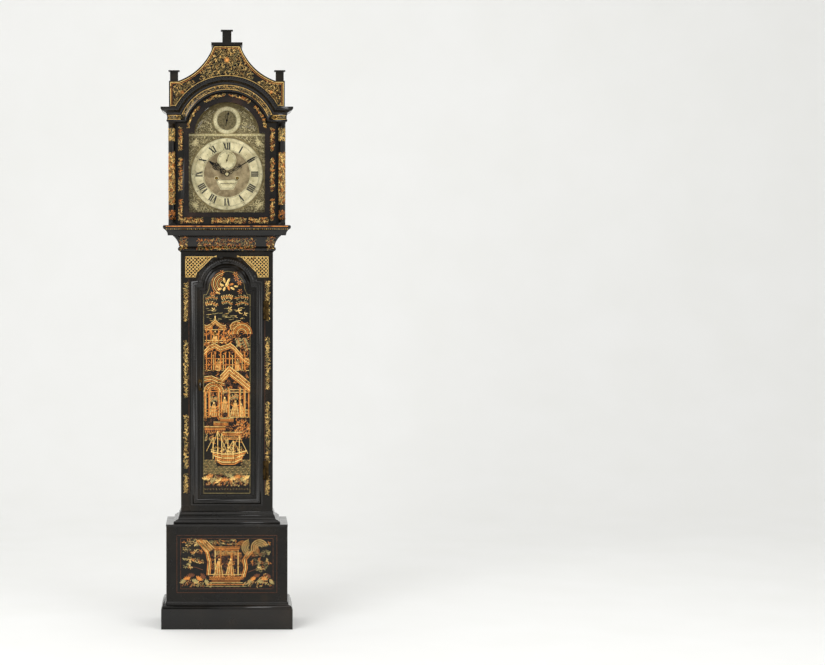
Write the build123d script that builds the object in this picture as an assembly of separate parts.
from build123d import *
import math
import os

# Longcase clock. Millimetres, +Z up, the front faces -Y, and the back is one flat plane.
# The origin is on the floor, midway across the width and midway from skirting to backboard.

# Case plan
trunk_width = 361.0
trunk_depth = 188.0
base_step = 57.0  # the base stands out from the trunk this far at the front and sides
hood_step = 47.5  # and so does the hood
skirting_projection = 20.0
board_thickness = 15.0
hood_board_thickness = 12.0
slide_gap = 0.3  # between pieces that slide or swing past each other

# Case heights, each from the one below
skirting_height = 107.0
skirting_board_height = 80.0
base_height = 403.0
base_edge_thickness = 8.0
base_floor_height = 30.0
base_cap_height = 46.0
base_cap_projection = 29.0
trunk_height = 1131.0
throat_height = 66.0
throat_projection = 30.0
hood_base_height = 40.0
hood_base_projection = 19.5
hood_base_rail = 35.0  # width of the hood's bottom frame inside its moulding
hood_body_height = 400.0
cornice_height = 58.0
cornice_projection = 28.5

# Pagoda top
pagoda_margin = 3.0  # the pagoda is narrower than the hood by this on each side
pagoda_wall_height = 102.0
pagoda_curve_half_width = 188.0
pagoda_top_half_width = 52.0
pagoda_rise = 137.0
pagoda_hollow = 22.0  # sag of the concave roof curve
pagoda_roof_thickness = 8.0
pagoda_rear_gap = 14.0
roof_cap_height = 11.0
roof_cap_half_width = 60.5
centre_block_width = 35.0
centre_block_height = 44.0
side_block_width = 31.0
side_block_height = 36.0
side_block_inset = 19.5  # block centre in from the pagoda's side
block_cap_overhang = 6.0
block_cap_thickness = 5.0

# Trunk door
door_half_width = 141.5
door_bottom_gap = 68.0
door_shoulder_drop = 178.0
door_arch_radius = 120.0
door_arch_drop = 26.0  # arch centre below the shoulder
lip_width = 26.0
lip_overlap = 12.0
lip_thickness = 6.0
lip_round_height = 4.0
lip_round_inset = 7.0
door_gap = 1.5
door_panel_thickness = 15.0
hinge_radius = 4.5
hinge_pin_radius = 1.5
hinge_height = 76.0
hinge_leaf_thickness = 0.8
hinge_leaf_width = 17.0
hinge_low = 139.0  # hinge centre above the door's bottom edge
hinge_high = 116.0  # hinge centre below the door's shoulder
lock_height = 478.0  # key above the door's bottom edge
lock_inset = 37.0  # key in from the door's left edge

# Hood door, mask, dial
dial_half_width = 152.4
dial_centre_height = 199.0  # above the top of the hood's base moulding
dial_arch_radius = 127.0
dial_setback = 46.0
dial_thickness = 3.0
ring_thickness = 2.0
sight_margin = 4.4  # the door opening shows this much less than the dial
hood_door_thickness = 18.0
hood_door_setback = 2.0
hood_door_gap = 4.0
door_arch_rail = 34.0
hood_door_bottom_rail = 46.0
hood_sight_drop = 39.0
bead_width = 18.0
bead_thickness = 4.0
glass_thickness = 3.0
glass_rebate = 6.0
pivot_radius = 2.0
pivot_inset = 6.0
pivot_plate_depth = 12.0
# The arch has drawn in this much where the door's upper pivot plate passes it.
pivot_plate_lap = 3.0
mask_thickness = 10.0
column_radius = 13.0
column_gap = 0.5
column_door_gap = 10.5
column_base_height = 22.0
capital_height = 16.0
chapter_outer = 140.0
chapter_inner = 90.0
seconds_offset = 54.0
seconds_radius = 36.0
strike_ring_offset = 57.0
strike_ring_outer = 53.0
strike_ring_inner = 38.0
winding_spread = 40.5
winding_drop = 16.0

# Movement
movement_setback = 35.0  # front plate behind the dial's face
plate_thickness = 3.0
plate_space = 61.0
plate_half_width = 75.0
plate_height = 210.0
pillar_radius = 4.0
pillar_inset = 6.0  # corner pillars in from the plates' edges
seatboard_thickness = 20.0
seatboard_top_drop = 106.0  # seatboard top below the dial centre
running_fit = 0.05
great_teeth = 96
centre_pinion_leaves = 8
centre_teeth = 60
third_pinion_leaves = 8
third_teeth = 56
escape_pinion_leaves = 7
escape_teeth = 30
centre_module = 0.9
third_module = 0.8
wheel_thickness = 2.5
drum_radius = 25.0
gut_radius = 0.8
escape_radius = 19.5
suspension_rise = 28.0  # pallet arbor above the escape arbor
pendulum_length = 994.0
bob_radius = 75.0
bob_thickness = 34.0
pendulum_setback = 25.0
weight_radius = 30.0
weight_length = 170.0
weight_floor_gap = 14.0
pulley_radius = 25.0
pulley_groove = 22.5
hour_hand_length = 87.0
minute_hand_length = 139.0
hour_hand_angle = 306.0  # clockwise from twelve, as are the other hand angles
minute_hand_angle = 59.0
seconds_hand_angle = 18.0
strike_hand_angle = 12.0

# Planes and levels that several pieces share
case_depth = trunk_depth + base_step + skirting_projection
back = case_depth / 2
backboard_front = back - board_thickness
trunk_front = back - trunk_depth
base_front = trunk_front - base_step
hood_front = trunk_front - hood_step
trunk_half = trunk_width / 2
base_half = trunk_half + base_step
hood_half = trunk_half + hood_step
base_top = base_height + base_edge_thickness
hood_bottom = base_top + trunk_height
hood_floor = hood_bottom + hood_base_height
cornice_bottom = hood_floor + hood_body_height
cornice_top = cornice_bottom + cornice_height
pagoda_shoulder = cornice_top + pagoda_wall_height
pagoda_top = pagoda_shoulder + pagoda_rise
dial_centre = hood_floor + dial_centre_height
dial_front = hood_front + dial_setback
arch_centre = dial_centre + dial_half_width
plate_front = dial_front + movement_setback
plates_inside = plate_front + plate_thickness
back_plate_front = plates_inside + plate_space
plates_rear = back_plate_front + plate_thickness
seatboard_top = dial_centre - seatboard_top_drop
seatboard_bottom = seatboard_top - seatboard_thickness
hood_front_edge = hood_front + 2 * column_radius + column_gap
barrel_height = dial_centre - winding_drop
escape_height = dial_centre + seconds_offset
suspension_height = escape_height + suspension_rise
pendulum_plane = plates_rear + pendulum_setback
bob_height = suspension_height - pendulum_length
weight_bottom = base_top + weight_floor_gap
weight_top = weight_bottom + weight_length
pulley_height = weight_top + 52.0
line_radius = pulley_groove + gut_radius + 0.1
weight_offset = winding_spread + drum_radius - line_radius
weight_plane = (plates_inside + back_plate_front) / 2


def outline(start, *steps):
    """Closed flat face: a step is a corner, or (point on an arc, end of the arc)."""
    edges = []
    here = start
    for step in steps:
        if isinstance(step[0], tuple):
            edges.append(ThreePointArc(here, step[0], step[1]))
            here = step[1]
        else:
            edges.append(Line(here, step))
            here = step
    if here != start:
        edges.append(Line(here, start))
    return make_face(edges)


def upright(face, front, thickness):
    """Stand a face drawn as (x, height) up, with its front at y = front."""
    plane = Plane(origin=(0, front + thickness, 0), x_dir=(1, 0, 0), z_dir=(0, -1, 0))
    return extrude(plane * face, thickness)


def block(x_span, y_span, z_span):
    size = [high - low for low, high in (x_span, y_span, z_span)]
    middle = [(low + high) / 2 for low, high in (x_span, y_span, z_span)]
    return Pos(*middle) * Box(*size)


def disc(x, height, radius, front, thickness):
    return upright(Pos(x, height) * Circle(radius), front, thickness)


def post(x, y, radius, bottom, top):
    return Pos(x, y, (bottom + top) / 2) * Cylinder(radius, top - bottom)


def both_sides(piece):
    return [piece, mirror(piece, about=Plane.YZ)]


def break_arch(half_width, bottom, shoulder, radius, centre):
    """Rectangle with a round arch standing on its top edge."""
    chord = math.sqrt(radius**2 - (shoulder - centre) ** 2)
    return outline(
        (-half_width, bottom),
        (half_width, bottom),
        (half_width, shoulder),
        (chord, shoulder),
        ((0, centre + radius), (-chord, shoulder)),
        (-half_width, shoulder),
    )


def mitred_run(section, half_width, front, reach):
    """A moulding along the front and back down both sides, mitred at the corners.
    The section is drawn as (projection from the carcase, height)."""
    front_plane = Plane(
        origin=(half_width + reach, front, 0), x_dir=(0, -1, 0), z_dir=(-1, 0, 0)
    )
    side_plane = Plane(origin=(half_width, back, 0), x_dir=(1, 0, 0), z_dir=(0, -1, 0))
    out = (half_width + reach, front - reach)
    inner = (half_width - reach, front + reach)
    wedge = Polyline((-inner[0], inner[1]), inner, out, (-out[0], out[1]), close=True)
    side_wedge = Polyline(inner, out, (out[0], back), (inner[0], back), close=True)
    tall = pagoda_top
    front_piece = extrude(front_plane * section, 2 * (half_width + reach))
    side_piece = extrude(side_plane * section, back - front + reach)
    front_piece = front_piece & extrude(make_face(wedge), tall)
    side_piece = side_piece & extrude(make_face(side_wedge), tall)
    return [front_piece, *both_sides(side_piece)]


def save(node, *pieces):
    """Write one node; its pieces stay separate solids."""
    solids = []
    for piece in pieces:
        solids.extend(piece.solids())
    shape = solids[0] if len(solids) == 1 else Compound(children=solids)
    export_step(shape, f"parts/{node}.step")


# ---------------------------------------------------------------- case
def backboard():
    """A wide board behind the base, a long one above it, and an ear on each side in the hood."""
    span = (backboard_front, back)
    high = cornice_top - 4
    base = block((-base_half, base_half), span, (0, base_height))
    trunk = block((-trunk_half, trunk_half), span, (base_height, high))
    ear = block((trunk_half, hood_half - hood_board_thickness - 4), span, (hood_floor + 2, high))
    return [base, trunk, *both_sides(ear)]


def base_sides():
    side = block(
        (base_half - board_thickness, base_half),
        (base_front + board_thickness, backboard_front),
        (0, base_height),
    )
    return both_sides(side)


def base_front_panel():
    return block(
        (-base_half, base_half), (base_front, base_front + board_thickness), (0, base_height)
    )


def base_floor():
    inside = base_half - board_thickness
    return block(
        (-inside, inside),
        (base_front + board_thickness, backboard_front),
        (base_floor_height, base_floor_height + board_thickness),
    )


def skirting():
    top = skirting_height
    low = skirting_board_height
    section = outline(
        (0, 0),
        (skirting_projection, 0),
        (skirting_projection, low),
        (skirting_projection - 3, low),
        ((skirting_projection - 4, low + 9), (skirting_projection - 10, low + 14)),
        ((skirting_projection - 16, low + 17), (skirting_projection - 16, low + 23)),
        (skirting_projection - 18, low + 23),
        (skirting_projection - 18, top),
        (0, top),
    )
    return mitred_run(section, base_half, base_front, skirting_projection + 1)


def base_cap_moulding():
    """Edge board over the base, and the stepped moulding from it up to the trunk."""
    low = base_top
    wide = base_cap_projection
    high = low + base_cap_height
    section = outline(
        (0, low),
        (wide, low),
        ((wide - 1.5, low + 7), (wide - 8, low + 9)),
        (wide - 8, low + 13),
        ((wide - 17, low + 16), (wide - 19, low + 25)),
        (wide - 22, low + 25),
        ((wide - 22.5, low + 31), (wide - 26, low + 33)),
        (wide - 26, low + 41),
        ((wide - 27, high - 1), (0, high)),
    )
    moulding = mitred_run(section, trunk_half, trunk_front, wide + 1)
    inside = trunk_half - board_thickness
    edge = block(
        (-base_half - 1, base_half + 1), (base_front - 1, backboard_front), (base_height, base_top)
    )
    edge -= block(
        (-inside, inside),
        (trunk_front + board_thickness, backboard_front + 1),
        (base_height - 1, base_top + 1),
    )
    return [edge, *moulding]


def trunk_sides():
    """The trunk's sides run up inside the hood as cheeks, and carry the seatboard."""
    side = block(
        (trunk_half - board_thickness, trunk_half),
        (trunk_front + board_thickness, backboard_front),
        (base_top, hood_bottom),
    )
    cheek = block(
        (trunk_half - board_thickness, trunk_half),
        (plate_front, backboard_front),
        (hood_bottom, seatboard_bottom),
    )
    return both_sides(side + cheek)


door_bottom = base_top + door_bottom_gap
door_shoulder = hood_bottom - door_shoulder_drop
door_arch_centre = door_shoulder - door_arch_drop


def trunk_door_outline(inset):
    return break_arch(
        door_half_width - inset,
        door_bottom + inset,
        door_shoulder - inset,
        door_arch_radius - inset,
        door_arch_centre,
    )


def trunk_front_frame():
    """Two stiles, a bottom rail and an arched head round the door opening."""
    low = door_bottom + lip_overlap
    high = door_shoulder - lip_overlap
    edge = door_half_width - lip_overlap
    span = (trunk_front, trunk_front + board_thickness)
    stile = block((edge, trunk_half), span, (base_top, hood_bottom))
    rail = block((-edge, edge), span, (base_top, low))
    head = block((-edge, edge), span, (high, hood_bottom))
    head -= upright(trunk_door_outline(lip_overlap), trunk_front - 1, board_thickness + 2)
    return [*both_sides(stile), rail, head]


def throat_moulding():
    top = hood_bottom - slide_gap
    low = hood_bottom - throat_height
    wide = throat_projection
    section = outline(
        (0, low),
        (2, low),
        (4, low + 4),
        ((11, low + 12), (4, low + 21)),
        (7, low + 24),
        (7, low + 29),
        ((wide - 15, low + 47), (wide - 2, top - 3)),
        (wide, top - 3),
        (wide, top),
        (0, top),
    )
    return mitred_run(section, trunk_half, trunk_front, wide + 1)


# ---------------------------------------------------------------- trunk door
panel_front = trunk_front - slide_gap
lip_front = panel_front - lip_thickness
hinge_x = door_half_width + hinge_leaf_thickness + 0.5 + hinge_radius
hinge_y = trunk_front - hinge_radius - 1.5
hinge_heights = (door_bottom + hinge_low, door_shoulder - hinge_high)
key_x = lock_inset - door_half_width
key_height = door_bottom + lock_height
keyhole_radius = 4.0
key_radius = 2.5


def trunk_door_panel():
    panel = upright(
        trunk_door_outline(lip_overlap + door_gap), panel_front, door_panel_thickness
    )
    return panel - disc(key_x, key_height, keyhole_radius, panel_front, door_panel_thickness)


def trunk_door_lip():
    """Half-round moulding planted round the door, lapping over the frame."""
    flat = trunk_door_outline(0) - trunk_door_outline(lip_width)
    raised = trunk_door_outline(lip_round_inset) - trunk_door_outline(
        lip_width - lip_round_inset
    )
    ring = upright(flat, lip_front, lip_thickness)
    return ring + upright(raised, lip_front - lip_round_height, lip_round_height)


def hinge_knuckles():
    """Heights of the three knuckles of a hinge, from its middle."""
    third = hinge_height / 3
    gap = 0.4
    return (
        (-hinge_height / 2, -third / 2 - gap),
        (-third / 2, third / 2),
        (third / 2 + gap, hinge_height / 2),
    )


def trunk_hinge_case_leaves():
    leaves = []
    for middle in hinge_heights:
        low, _, high = hinge_knuckles()
        leaf = block(
            (hinge_x + hinge_radius + 0.5, hinge_x + hinge_leaf_width),
            (trunk_front - 1, trunk_front),
            (middle - hinge_height / 2, middle + hinge_height / 2),
        )
        leaf += post(
            hinge_x, hinge_y, hinge_pin_radius, middle - hinge_height / 2, middle + hinge_height / 2
        )
        for knuckle in (low, high):
            leaf += post(hinge_x, hinge_y, hinge_radius, middle + knuckle[0], middle + knuckle[1])
            leaf += block(
                (hinge_x, hinge_x + hinge_radius + 1),
                (trunk_front - 3, trunk_front),
                (middle + knuckle[0], middle + knuckle[1]),
            )
        leaves.append(leaf)
    return leaves


def trunk_hinge_door_leaves():
    leaves = []
    for middle in hinge_heights:
        _, knuckle, _ = hinge_knuckles()
        leaf = block(
            (door_half_width, door_half_width + hinge_leaf_thickness),
            (lip_front, trunk_front - 1),
            (middle - hinge_height / 2, middle + hinge_height / 2),
        )
        leaf += post(hinge_x, hinge_y, hinge_radius, middle + knuckle[0], middle + knuckle[1])
        leaf += block(
            (door_half_width, hinge_x),
            (hinge_y - 1.5, hinge_y + 1.5),
            (middle + knuckle[0], middle + knuckle[1]),
        )
        leaf -= post(
            hinge_x,
            hinge_y,
            hinge_pin_radius + running_fit,
            middle - hinge_height / 2,
            middle + hinge_height / 2,
        )
        leaves.append(leaf)
    return leaves


def escutcheon():
    plate = outline(
        (key_x - 7, key_height - 20),
        ((key_x, key_height - 27), (key_x + 7, key_height - 20)),
        (key_x + 8, key_height + 14),
        ((key_x, key_height + 22), (key_x - 8, key_height + 14)),
    )
    return upright(plate - Pos(key_x, key_height) * Circle(keyhole_radius), panel_front - 1.5, 1.5)


lock_rear = panel_front + door_panel_thickness
lock_depth = 12.0
lock_half_height = 28.0
lock_wall = 2.0
bolt_half_height = 8.0
bolt_travel = 9.0
lock_edge = lip_overlap + door_gap + 2 - door_half_width


def lock_case():
    span = (lock_edge, key_x + 24)
    depth = (lock_rear, lock_rear + lock_depth)
    case = block(span, depth, (key_height - lock_half_height, key_height + lock_half_height))
    case -= block(
        (span[0] + lock_wall, span[1] - lock_wall),
        (depth[0] + lock_wall, depth[1] - lock_wall),
        (
            key_height - lock_half_height + lock_wall,
            key_height + lock_half_height - lock_wall,
        ),
    )
    case -= block(
        (span[0] - 1, span[0] + lock_wall + 1),
        (depth[0] + lock_wall, depth[1] - lock_wall),
        (key_height - bolt_half_height - slide_gap, key_height + bolt_half_height + slide_gap),
    )
    return case - disc(key_x, key_height, keyhole_radius, depth[0] - 1, lock_wall + 2)


def lock_bolt():
    return block(
        (lock_edge + 0.5, key_x - key_radius - 3),
        (lock_rear + lock_wall + slide_gap, lock_rear + lock_depth - lock_wall - slide_gap),
        (key_height - bolt_half_height, key_height + bolt_half_height),
    )


def trunk_key():
    bow_y = panel_front - 26
    key = disc(key_x, key_height, key_radius, bow_y, lock_rear + lock_depth - 4 - bow_y)
    key += block(
        (key_x - 1, key_x + 1),
        (lock_rear + lock_wall + 1, lock_rear + lock_depth - 5),
        (key_height, key_height + 8),
    )
    bow = Pos(key_x, bow_y - 8, key_height) * Rot(0, 90, 0) * Cylinder(11, 3)
    bow -= Pos(key_x, bow_y - 8, key_height) * Rot(0, 90, 0) * Cylinder(7, 4)
    return key + bow


# ---------------------------------------------------------------- hood
hood_inside = hood_half - hood_board_thickness
hood_door_front = hood_front + hood_door_setback
hood_door_half = hood_half - 2 * column_radius - column_gap - column_door_gap
hood_door_bottom = hood_floor + hood_door_gap
hood_door_shoulder = cornice_bottom - hood_door_gap + 1
sight_radius = dial_arch_radius - 1
hood_door_radius = sight_radius + door_arch_rail
cornice_arch_radius = hood_door_radius + 5
pivot_x = hood_door_half - pivot_inset
pivot_y = hood_door_front + pivot_inset
pagoda_front_plane = hood_front + hood_board_thickness
pagoda_half = hood_half - pagoda_margin


def pivot_hole(bottom, top):
    return post(pivot_x, pivot_y, pivot_radius + running_fit, bottom, top)


def hood_base_moulding():
    low = hood_bottom
    top = hood_floor
    wide = hood_base_projection
    section = outline(
        (-hood_base_rail, low),
        (2, low),
        (3, low + 7),
        ((wide - 12, low + 17), (wide - 3, low + 25)),
        (wide, low + 28),
        ((wide + 1, low + 33), (wide, top - 2)),
        (wide - 2, top),
        (-hood_base_rail, top),
    )
    pieces = mitred_run(section, hood_half, hood_front, hood_base_rail + 1)
    pieces[0] -= pivot_hole(top - 8, top + 1)
    return pieces


def hood_sides():
    side = block(
        (hood_inside, hood_half), (hood_front_edge, back), (hood_floor, cornice_bottom)
    )
    return both_sides(side)


def dial_sight(spare):
    """The opening that shows the dial, grown by spare."""
    return break_arch(
        dial_half_width - sight_margin + spare,
        hood_door_bottom + hood_door_bottom_rail - spare,
        hood_door_shoulder - hood_sight_drop + spare,
        sight_radius + spare,
        arch_centre,
    )


def dial_mask():
    face = outline(
        (-hood_inside, hood_floor),
        (hood_inside, hood_floor),
        (hood_inside, pagoda_shoulder - 14),
        (-hood_inside, pagoda_shoulder - 14),
    )
    return upright(face - dial_sight(1.5), hood_front_edge, mask_thickness)


def hood_top_board():
    return block(
        (-hood_inside, hood_inside),
        (hood_front_edge, back - pagoda_rear_gap - board_thickness),
        (pagoda_shoulder - 14, pagoda_shoulder - 14 + 5),
    )


def cornice_section(low):
    wide = cornice_projection
    return outline(
        (-hood_board_thickness, low),
        (1, low),
        ((6.5, low + 5), (4, low + 10)),
        (4, low + 25),
        (6, low + 26),
        ((9, low + 36), (wide - 14, low + 39)),
        (wide - 11, low + 42),
        ((wide - 4, low + 45), (wide - 1, low + 50)),
        (wide, low + 50),
        (wide, low + cornice_height),
        (-hood_board_thickness, low + cornice_height),
    )


def hood_cornice():
    """Straight lengths on the front and sides, and an arch mitred into the front."""
    outer = cornice_arch_radius + cornice_height
    inner_chord = math.sqrt(cornice_arch_radius**2 - (cornice_bottom - arch_centre) ** 2)
    outer_chord = math.sqrt(outer**2 - (cornice_top - arch_centre) ** 2)
    above = arch_centre + outer + 10
    spare = 2.0
    lean = (outer_chord - inner_chord) / cornice_height
    arch_zone = outline(
        (-inner_chord + spare * lean, cornice_bottom - spare),
        (inner_chord - spare * lean, cornice_bottom - spare),
        (outer_chord, cornice_top),
        (outer_chord + 60, cornice_top),
        (outer_chord + 60, above),
        (-outer_chord - 60, above),
        (-outer_chord - 60, cornice_top),
        (-outer_chord, cornice_top),
    )
    reach = cornice_projection + hood_board_thickness
    zone = upright(arch_zone, hood_front - reach, 3 * reach)
    run = mitred_run(cornice_section(cornice_bottom), hood_half, hood_front, reach)
    run[0] -= zone
    # The arch: the same section with its height turned into radius.
    section_plane = Plane(
        origin=(0, hood_front, arch_centre), x_dir=(0, -1, 0), z_dir=(-1, 0, 0)
    )
    arch_face = section_plane * cornice_section(cornice_arch_radius)
    arch = revolve(arch_face, Axis((0, 0, arch_centre), (0, 1, 0)), 360) & zone
    run[0] -= pivot_hole(cornice_bottom - 1, cornice_bottom + 8)
    return [*run, arch]


def roof_hollow(side):
    """Middle point of the concave roof curve on one side."""
    foot = (pagoda_curve_half_width, pagoda_shoulder)
    head = (pagoda_top_half_width, pagoda_top)
    run = foot[0] - head[0]
    rise = head[1] - foot[1]
    length = math.hypot(run, rise)
    x = (foot[0] + head[0]) / 2 - pagoda_hollow * rise / length
    height = (foot[1] + head[1]) / 2 - pagoda_hollow * run / length
    return (side * x, height)


def pagoda_outline(bottom):
    return outline(
        (-pagoda_half, bottom),
        (pagoda_half, bottom),
        (pagoda_half, pagoda_shoulder),
        (pagoda_curve_half_width, pagoda_shoulder),
        (roof_hollow(1), (pagoda_top_half_width, pagoda_top)),
        (-pagoda_top_half_width, pagoda_top),
        (roof_hollow(-1), (-pagoda_curve_half_width, pagoda_shoulder)),
        (-pagoda_half, pagoda_shoulder),
    )


def pagoda_front():
    face = pagoda_outline(cornice_top)
    middle = (cornice_top + cornice_bottom + 2) / 2
    face += Pos(0, middle) * Rectangle(2 * hood_inside, cornice_height - 2)
    face -= Pos(0, arch_centre) * Circle(cornice_arch_radius)
    return upright(face, pagoda_front_plane, hood_board_thickness)


def pagoda_roof():
    """Sides and curved roof boards behind the front board, with a back board."""
    outer = pagoda_outline(cornice_top)
    inner = offset(outer, -pagoda_roof_thickness)
    inner += Pos(0, cornice_top + pagoda_roof_thickness) * Rectangle(
        2 * (pagoda_half - pagoda_roof_thickness), 4 * pagoda_roof_thickness
    )
    front = pagoda_front_plane + hood_board_thickness
    rear = back - pagoda_rear_gap
    shell = upright(outer - inner, front, rear - front)
    board = upright(offset(outer, -pagoda_roof_thickness), rear - board_thickness, board_thickness)
    return [shell, board]


def capped_block(x, width, depth_centre, bottom, height):
    """A square finial plinth and its flat cap."""
    half = width / 2
    body = block(
        (x - half, x + half),
        (depth_centre - half, depth_centre + half),
        (bottom, bottom + height),
    )
    cap_half = half + block_cap_overhang
    cap = block(
        (x - cap_half, x + cap_half),
        (depth_centre - cap_half, depth_centre + cap_half),
        (bottom + height, bottom + height + block_cap_thickness),
    )
    return [body, cap]


def finial_blocks():
    depth_centre = pagoda_front_plane + centre_block_width / 2 + block_cap_overhang
    cap = block(
        (-roof_cap_half_width, roof_cap_half_width),
        (pagoda_front_plane - 8, back - pagoda_rear_gap + 4),
        (pagoda_top, pagoda_top + roof_cap_height),
    )
    pieces = [cap]
    pieces += capped_block(
        0, centre_block_width, depth_centre, pagoda_top + roof_cap_height, centre_block_height
    )
    side = pagoda_half - side_block_inset
    for x in (-side, side):
        pieces += capped_block(x, side_block_width, depth_centre, pagoda_shoulder, side_block_height)
    return pieces


column_x = hood_half - column_radius - column_gap
column_y = hood_front + column_radius


def hood_columns():
    low = hood_floor + column_base_height
    high = cornice_bottom - capital_height
    shaft = loft(
        [
            Pos(column_x, column_y, low) * Circle(column_radius - 0.5),
            Pos(column_x, column_y, high) * Circle(column_radius - 1.5),
        ]
    )
    return both_sides(shaft)


def column_caps_and_bases():
    half = column_radius
    square = ((column_x - half, column_x + half), (column_y - half, column_y + half))
    base = block(*square, (hood_floor, hood_floor + 10))
    base += post(column_x, column_y, half, hood_floor + 10, hood_floor + 16)
    base += post(column_x, column_y, half - 0.5, hood_floor + 16, hood_floor + column_base_height)
    capital = post(
        column_x, column_y, half - 1, cornice_bottom - capital_height, cornice_bottom - 10
    )
    capital += post(column_x, column_y, half - 0.3, cornice_bottom - 10, cornice_bottom - 6)
    capital += block(*square, (cornice_bottom - 6, cornice_bottom))
    return [*both_sides(base), *both_sides(capital)]


# ---------------------------------------------------------------- hood door
def hood_door_outline():
    return break_arch(
        hood_door_half, hood_door_bottom, hood_door_shoulder, hood_door_radius, arch_centre
    )


def hood_door_frame():
    """Stiles, bottom rail and arched head, rebated behind for the glass."""
    face = hood_door_outline() - dial_sight(0)
    whole = upright(face, hood_door_front, hood_door_thickness)
    rebate = hood_door_thickness / 2
    whole -= upright(dial_sight(glass_rebate), hood_door_front + rebate, rebate)
    whole -= pivot_hole(hood_door_bottom - 1, hood_door_bottom + 8)
    whole -= pivot_hole(hood_door_shoulder - 8, hood_door_shoulder + 1)
    sight_half = dial_half_width - sight_margin
    rail_top = hood_door_bottom + hood_door_bottom_rail
    head_bottom = hood_door_shoulder - hood_sight_drop
    depth = (hood_door_front - 1, hood_door_front + hood_door_thickness + 1)
    wide = hood_door_half + 1
    stile_zone = block((sight_half, wide), depth, (hood_floor, cornice_top + 200))
    rail_zone = block((-sight_half, sight_half), depth, (hood_floor, rail_top))
    head_zone = block((-sight_half, sight_half), depth, (head_bottom, cornice_top + 200))
    left_zone = mirror(stile_zone, about=Plane.YZ)
    return [whole & stile_zone, whole & left_zone, whole & rail_zone, whole & head_zone]


def hood_door_bead():
    ring = dial_sight(bead_width) - dial_sight(0)
    return upright(ring, hood_door_front - bead_thickness, bead_thickness)


def hood_door_glass():
    front = hood_door_front + hood_door_thickness / 2
    return upright(dial_sight(glass_rebate - 0.5), front, glass_thickness)


def hood_door_pivots():
    """A brass plate and pin under the door and one above it, at its right edge."""
    pieces = []
    for level, direction in ((hood_door_bottom, -1), (hood_door_shoulder, 1)):
        ends = sorted((level, level + direction * 2))
        plate = block(
            (hood_door_radius - pivot_plate_lap, hood_door_half - 1),
            (hood_door_front + 1, hood_door_front + 1 + pivot_plate_depth),
            ends,
        )
        reach = sorted((level - direction * 7, level + direction * 10))
        pieces.append(plate + post(pivot_x, pivot_y, pivot_radius, *reach))
    return pieces


# ---------------------------------------------------------------- dial
def dial_plate():
    """Brass plate with its four feet riveted in."""
    bottom = dial_centre - dial_half_width
    face = break_arch(
        dial_half_width, bottom, dial_centre + dial_half_width - 1, dial_arch_radius, arch_centre
    )
    face -= Pos(0, dial_centre) * Circle(6)
    face -= Pos(0, escape_height) * Circle(2.5)
    face -= Pos(0, arch_centre + strike_ring_offset) * Circle(2.5)
    for side in (-1, 1):
        face -= Pos(side * winding_spread, barrel_height) * Circle(6.5)
    plate = upright(face, dial_front, dial_thickness)
    for x, up in ((-60, -75), (60, -75), (-60, 75), (60, 75)):
        foot = disc(x, dial_centre + up, 3.5, dial_front + 1, movement_setback - 1)
        plate += foot
    return plate


def flat_ring(x, height, outer, inner):
    ring = Circle(outer) - Circle(inner)
    return upright(Pos(x, height) * ring, dial_front - ring_thickness, ring_thickness)


def small_dial_rings():
    """Seconds disc, strike and silent ring, and the blank plaque under the centre."""
    plaque = outline(
        (-48, dial_centre - 17),
        (-25, dial_centre - 61),
        (25, dial_centre - 61),
        (48, dial_centre - 17),
        ((0, dial_centre - 23), (-48, dial_centre - 17)),
    )
    for side in (-1, 1):
        plaque -= Pos(side * winding_spread, barrel_height) * Circle(11)
    return [
        flat_ring(0, escape_height, seconds_radius, 2.5),
        flat_ring(0, arch_centre + strike_ring_offset, strike_ring_outer, strike_ring_inner),
        upright(plaque, dial_front - 1, 1),
    ]


def dial_spandrels():
    """Cast corner pieces, and one each side of the ring in the arch."""
    corner_half = dial_half_width - 6
    corners = Pos(0, dial_centre) * (
        Rectangle(2 * corner_half, 2 * corner_half) - Circle(chapter_outer + 10)
    )
    arch = Pos(0, arch_centre) * Circle(dial_arch_radius - 6)
    arch -= Pos(0, arch_centre + strike_ring_offset) * Circle(strike_ring_outer + 4)
    arch -= Pos(0, arch_centre) * Rectangle(50, 2 * dial_arch_radius)
    arch -= Pos(0, arch_centre - dial_arch_radius + 8) * Rectangle(
        2 * dial_arch_radius, 2 * dial_arch_radius
    )
    thickness = 1.8
    return [upright(f, dial_front - thickness, thickness) for f in (*corners.faces(), *arch.faces())]


def hand(x, height, angle, front, thickness, length, hub, hole, widths, tail=0.0):
    """A flat pierced hand. widths: at the hub, and of the leaf near its tip."""
    stem, leaf = widths
    body = outline(
        (-stem, -tail),
        (stem, -tail),
        (stem * 0.6, length * 0.55),
        (leaf, length * 0.72),
        (leaf * 0.25, length * 0.84),
        (0.35, length),
        (-0.35, length),
        (-leaf * 0.25, length * 0.84),
        (-leaf, length * 0.72),
        (-stem * 0.6, length * 0.55),
    )
    body += Circle(hub)
    body -= Circle(hole)
    return upright(Pos(x, height) * Rot(0, 0, -angle) * body, front, thickness)


# ---------------------------------------------------------------- movement
def wheel_face(teeth, module, phase):
    """Toothed disc, with a tooth at the angle phase and narrow teeth that mesh freely."""
    radius = teeth * module / 2
    points = []
    for number in range(teeth):
        for reach, share in ((-1.2, -0.22), (0.8, -0.09), (0.8, 0.09), (-1.2, 0.22)):
            turn = math.radians(phase + 360 * (number + share) / teeth)
            out = radius + reach * module
            points.append((out * math.cos(turn), out * math.sin(turn)))
    return make_face(Polyline(*points, close=True))


def crossed(face, radius, arbor):
    """Four round piercings that lighten a wheel."""
    size = (radius - arbor) * 0.34
    for number in range(4):
        turn = math.radians(45 + 90 * number)
        ring = (radius + arbor) * 0.5
        face -= Pos(ring * math.cos(turn), ring * math.sin(turn)) * Circle(size)
    return face


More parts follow.
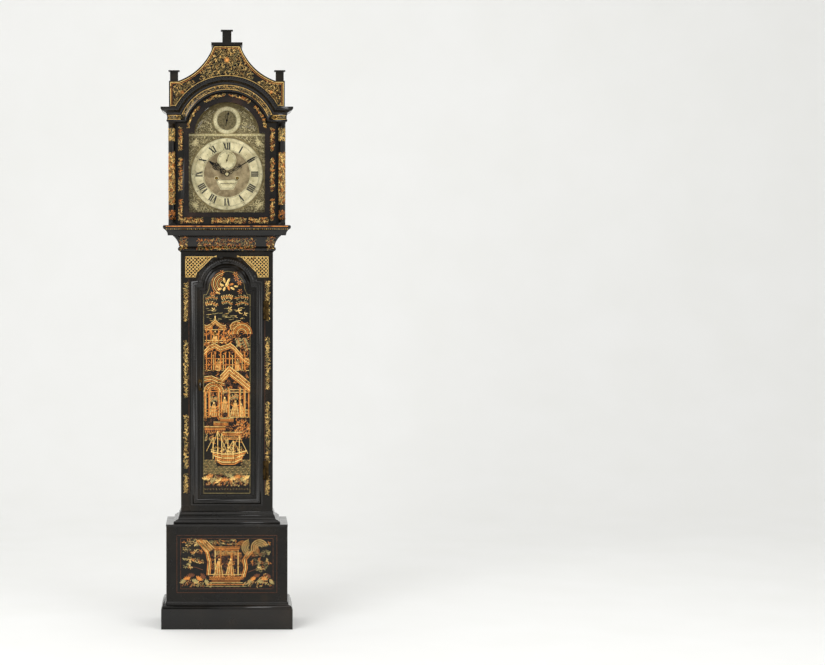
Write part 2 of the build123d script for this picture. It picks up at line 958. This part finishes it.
def wheel(x, height, teeth, module, phase, front, arbor=4.0):
    face = wheel_face(teeth, module, phase)
    if teeth > 20:
        face = crossed(face, teeth * module / 2 - 3, arbor)
    return upright(Pos(x, height) * face, front, wheel_thickness)


def line_angle(start, end):
    return math.degrees(math.atan2(end[1] - start[1], end[0] - start[0]))


centre_place = (0.0, dial_centre)
escape_place = (0.0, escape_height)
barrel_places = {"going": (winding_spread, barrel_height), "strike": (-winding_spread, barrel_height)}
great_distance = math.hypot(winding_spread, winding_drop)
great_module = 2 * great_distance / (great_teeth + centre_pinion_leaves)
third_to_centre = centre_module * (centre_teeth + third_pinion_leaves) / 2
third_to_escape = third_module * (third_teeth + escape_pinion_leaves) / 2
third_rise = (third_to_centre**2 - third_to_escape**2 + seconds_offset**2) / (2 * seconds_offset)
third_place = (math.sqrt(third_to_centre**2 - third_rise**2), dial_centre + third_rise)
centre_wheel_plane = plates_inside + 2
great_plane = centre_wheel_plane + wheel_thickness + 2.5
strike_great_plane = great_plane + wheel_thickness + 1.5
drum_front = strike_great_plane + wheel_thickness + 1.5
third_plane = plates_inside + 39
escape_plane = plates_inside + 49
centre_arbor_radius = 2.0
escape_arbor_radius = 1.0
third_arbor_radius = 1.5
barrel_arbor_radius = 4.0
pallet_arbor_radius = 1.5
hammer_place = (-58.0, suspension_height - 13.0)


def centre_wheel():
    arbor = disc(*centre_place, centre_arbor_radius, dial_front - 14, plates_rear - dial_front + 14)
    wheel_phase = line_angle(centre_place, third_place)
    arbor += wheel(*centre_place, centre_teeth, centre_module, wheel_phase, centre_wheel_plane)
    phase = line_angle(centre_place, barrel_places["going"]) + 180 / centre_pinion_leaves
    return arbor + wheel(*centre_place, centre_pinion_leaves, great_module, phase, great_plane)


def hour_wheel():
    """Pipe that carries the hour hand, turning on the centre arbor."""
    pipe = disc(*centre_place, 4, dial_front - 11, 39)
    pipe += crossed_disc(*centre_place, 20, dial_front + 24)
    return pipe - disc(*centre_place, centre_arbor_radius + running_fit, dial_front - 12, 42)


def crossed_disc(x, height, radius, front):
    return upright(Pos(x, height) * crossed(Circle(radius), radius - 2, 4), front, wheel_thickness)


def third_wheel():
    arbor = disc(*third_place, third_arbor_radius, plate_front, plates_rear - plate_front)
    phase = line_angle(third_place, centre_place) + 180 / third_pinion_leaves
    arbor += wheel(*third_place, third_pinion_leaves, centre_module, phase, centre_wheel_plane)
    phase = line_angle(third_place, escape_place)
    return arbor + wheel(*third_place, third_teeth, third_module, phase, third_plane, 3.0)


def escape_wheel():
    """Thirty pointed teeth, on the arbor that also carries the seconds hand."""
    arbor = disc(*escape_place, escape_arbor_radius, dial_front - 5, plates_rear - dial_front + 5)
    phase = line_angle(escape_place, third_place) + 180 / escape_pinion_leaves
    arbor += wheel(*escape_place, escape_pinion_leaves, third_module, phase, third_plane)
    points = []
    for number in range(escape_teeth):
        for radius, share in ((escape_radius - 4, 0.0), (escape_radius, 0.6), (escape_radius - 3.6, 0.7)):
            turn = 2 * math.pi * (number + share) / escape_teeth
            points.append((radius * math.cos(turn), radius * math.sin(turn)))
    face = crossed(make_face(Polyline(*points, close=True)), escape_radius - 5, 3)
    return arbor + upright(Pos(*escape_place) * face, escape_plane, 1.5)


def barrel(side, plane):
    place = barrel_places[side]
    whole = disc(*place, barrel_arbor_radius, dial_front + 1, plates_rear - dial_front - 1)
    phase = line_angle(place, centre_place)
    face = wheel_face(great_teeth, great_module, phase)
    whole += upright(Pos(*place) * face, plane, wheel_thickness)
    drum_rear = back_plate_front - 5
    whole += disc(*place, drum_radius - gut_radius, plane + 1, drum_rear - plane - 1)
    for front in (drum_front - 1, drum_rear - 1.5):
        whole += disc(*place, drum_radius + 3, front, 1.5)
    return whole


def movement_plates():
    """Front and back plate with the arbor holes, and the five pillars between them."""
    low = seatboard_top
    face = outline(
        (-plate_half_width, low),
        (plate_half_width, low),
        (plate_half_width, low + plate_height),
        (-plate_half_width, low + plate_height),
    )
    holes = (
        (centre_place, centre_arbor_radius),
        (third_place, third_arbor_radius),
        (escape_place, escape_arbor_radius),
        (barrel_places["going"], barrel_arbor_radius),
        (barrel_places["strike"], barrel_arbor_radius),
        ((0.0, suspension_height), pallet_arbor_radius),
        (hammer_place, pallet_arbor_radius),
    )
    for place, radius in holes:
        face -= Pos(*place) * Circle(radius + running_fit)
    plates = [
        upright(face, plate_front, plate_thickness),
        upright(face, back_plate_front, plate_thickness),
    ]
    corner_x = plate_half_width - pillar_inset
    rises = (pillar_inset, plate_height - pillar_inset)
    places = [(x, low + rise) for x in (-corner_x, corner_x) for rise in rises]
    places.append((0.0, low + 20))
    return plates + [disc(*place, pillar_radius, plates_inside, plate_space) for place in places]


def seatboard():
    board = block(
        (-trunk_half, trunk_half),
        (plate_front - 14, backboard_front),
        (seatboard_bottom, seatboard_top),
    )
    for side in (-1, 1):
        for reach in (-line_radius, line_radius):
            x = side * (weight_offset + reach)
            board -= post(x, weight_plane, 4, seatboard_bottom - 1, seatboard_top + 1)
    return board - block(
        (-14, 14), (plates_rear + 1, backboard_front + 1), (seatboard_bottom - 1, seatboard_top + 1)
    )


def pallet_anchor():
    """Anchor, its arbor, and the crutch that hangs behind the back plate."""
    top = suspension_height
    tip = escape_height + 14.5
    arbor = disc(0, top, pallet_arbor_radius, plate_front, plates_rear + 5 - plate_front)
    face = outline(
        (-19.5, tip),
        (-17, tip),
        (-15.5, top - 7),
        (0, top - 3.5),
        (15.5, top - 7),
        (17, tip),
        (19.5, tip),
        (19, top - 5),
        (0, top + 4.5),
        (-19, top - 5),
    )
    arbor += upright(face, escape_plane, 1.5)
    arbor += block((-1.5, 1.5), (plates_rear + 2, plates_rear + 5), (top - 90, top))
    foot = block((-6, 6), (plates_rear + 2, pendulum_plane + 8), (top - 92, top - 89))
    foot -= block((-3, 3), (pendulum_plane - 4, pendulum_plane + 9), (top - 93, top - 88))
    return arbor + foot


def back_cock():
    """Bracket behind the back plate that hangs the pendulum."""
    top = suspension_height
    bridge_front = plates_rear + 11
    cock = block((-24, 24), (bridge_front, bridge_front + 3), (top - 10, top + 12))
    for side in (-1, 1):
        ends = sorted((side * 18, side * 24))
        cock += block(ends, (plates_rear, bridge_front + 1), (top - 10, top + 12))
    cock += block((-6, 6), (bridge_front + 2, pendulum_plane + 6), (top + 3, top + 10))
    return cock - block((-1, 1), (pendulum_plane - 6, pendulum_plane + 7), (top + 2, top + 9))


def pendulum_rod():
    top = suspension_height
    spring = block((-0.2, 0.2), (pendulum_plane - 5, pendulum_plane + 5), (top - 28, top + 8))
    spring += block((-5, 5), (pendulum_plane - 5, pendulum_plane + 5), (top - 34, top - 26))
    end = bob_height - bob_radius - 26
    return spring + post(0, pendulum_plane, 2.5, end, top - 33)


def pendulum_bob():
    ball = (bob_radius**2 + (bob_thickness / 2) ** 2) / bob_thickness
    shift = ball - bob_thickness / 2
    front = Pos(0, pendulum_plane + shift, bob_height) * Sphere(ball)
    rear = Pos(0, pendulum_plane - shift, bob_height) * Sphere(ball)
    bob = front & rear
    return bob - post(0, pendulum_plane, 2.5, bob_height - 100, bob_height + 100)


def rating_nut():
    top = bob_height - bob_radius - 2
    nut = post(0, pendulum_plane, 10, top - 9, top)
    return nut - post(0, pendulum_plane, 2.5 + running_fit, top - 10, top + 1)


def bell():
    """Bell on the stand that rises inside it from the movement."""
    radius = 48.0
    wall = 2.5
    y = weight_plane
    height = seatboard_top + plate_height + 20
    dome = Pos(0, y, height) * Sphere(radius)
    dome -= Pos(0, y, height) * Sphere(radius - wall)
    dome -= block((-60, 60), (y - 60, y + 60), (height - 60, height))
    dome -= post(0, y, 3, height, height + 60)
    stand = post(0, y, 3, height - 26, height + radius + 4)
    stand += block((-7, 7), (y, back_plate_front), (height - 30, height - 25))
    return [dome, stand]


def bell_hammer():
    """Hammer beside the bell; it is drawn back, and falls to just short of the bell."""
    x, height = hammer_place
    hammer = disc(x, height, pallet_arbor_radius, plate_front, plates_rear - plate_front)
    head = height + 58
    hammer += block((x - 1.2, x + 1.2), (weight_plane - 2, weight_plane + 2), (height, head))
    hammer += Pos(x + 0.5, weight_plane, head) * Rot(0, 90, 0) * Cylinder(5, 11)
    return hammer


def pulley(side):
    x = side * weight_offset
    wheel_body = disc(x, pulley_height, pulley_radius, weight_plane - 5, 10)
    groove = Circle(pulley_radius + 1) - Circle(pulley_groove)
    wheel_body -= upright(Pos(x, pulley_height) * groove, weight_plane - 2, 4)
    return wheel_body - disc(x, pulley_height, 2 + running_fit, weight_plane - 6, 12)


def weight(side):
    """Cased weight with the hook and the stirrup that holds its pulley."""
    x = side * weight_offset
    y = weight_plane
    whole = post(x, y, weight_radius, weight_bottom, weight_top)
    whole += post(x, y, 3, weight_top - 1, weight_top + 20)
    whole += block((x - 7, x + 7), (y - 9, y + 9), (weight_top + 18, weight_top + 22))
    for front in (y - 9, y + 6):
        whole += block((x - 7, x + 7), (front, front + 3), (weight_top + 18, pulley_height + 7))
    return whole + disc(x, pulley_height, 2, y - 9, 18)


def gut_line(side):
    """The two straight strands between the seatboard and the pulley."""
    strands = []
    for reach in (-line_radius, line_radius):
        x = side * weight_offset + reach
        strands.append(post(x, weight_plane, gut_radius, pulley_height, seatboard_bottom))
    return strands


os.makedirs("parts", exist_ok=True)

save("backboard", *backboard())
save("base_sides", *base_sides())
save("base_front_panel", base_front_panel())
save("base_floor", base_floor())
save("skirting", *skirting())
save("base_cap_moulding", *base_cap_moulding())
save("trunk_sides", *trunk_sides())
save("trunk_front_frame", *trunk_front_frame())
save("throat_moulding", *throat_moulding())
save("trunk_hinge_case_leaves", *trunk_hinge_case_leaves())

save("trunk_door_panel", trunk_door_panel())
save("trunk_door_lip", trunk_door_lip())
save("trunk_hinge_door_leaves", *trunk_hinge_door_leaves())
save("escutcheon", escutcheon())
save("lock_case", lock_case())
save("lock_bolt", lock_bolt())
save("trunk_key", trunk_key())

save("hood_base_moulding", *hood_base_moulding())
save("hood_sides", *hood_sides())
save("dial_mask", dial_mask())
save("hood_top_board", hood_top_board())
save("hood_cornice", *hood_cornice())
save("pagoda_front", pagoda_front())
save("pagoda_roof", *pagoda_roof())
save("finial_blocks", *finial_blocks())
save("hood_columns", *hood_columns())
save("column_caps_and_bases", *column_caps_and_bases())

save("hood_door_frame", *hood_door_frame())
save("hood_door_bead", hood_door_bead())
save("hood_door_glass", hood_door_glass())
save("hood_door_pivots", *hood_door_pivots())

save("dial_plate", dial_plate())
save("chapter_ring", flat_ring(0, dial_centre, chapter_outer, chapter_inner))
save("small_dial_rings", *small_dial_rings())
save("dial_spandrels", *dial_spandrels())
save(
    "hour_hand",
    hand(*centre_place, hour_hand_angle, dial_front - 9.5, 1, hour_hand_length, 9, 4, (3, 9)),
)
save(
    "minute_hand",
    hand(*centre_place, minute_hand_angle, dial_front - 13, 1, minute_hand_length, 7, 2, (2.5, 8)),
)
save(
    "seconds_hand",
    hand(*escape_place, seconds_hand_angle, dial_front - 4, 0.8, 26, 3, 1, (0.9, 1.4), 9),
)
strike_place = (0.0, arch_centre + strike_ring_offset)
strike_hand = hand(*strike_place, strike_hand_angle, dial_front - 4, 0.8, 36, 4, 1, (1.2, 4), 22)
save("strike_silent_hand", strike_hand + disc(*strike_place, 2, dial_front - 3.5, 9))

save("seatboard", seatboard())
save("movement_plates", *movement_plates())
save("centre_wheel", centre_wheel())
save("hour_wheel", hour_wheel())
save("third_wheel", third_wheel())
save("escape_wheel", escape_wheel())
save("going_barrel", barrel("going", great_plane))
save("strike_barrel", barrel("strike", strike_great_plane))
save("pallet_anchor", pallet_anchor())
save("back_cock", back_cock())
save("pendulum_rod", pendulum_rod())
save("pendulum_bob", pendulum_bob())
save("rating_nut", rating_nut())
save("bell", *bell())
save("bell_hammer", bell_hammer())
for name, side in (("going", 1), ("strike", -1)):
    save(f"weight_{name}", weight(side))
    save(f"pulley_{name}", pulley(side))
    save(f"gut_line_{name}", *gut_line(side))
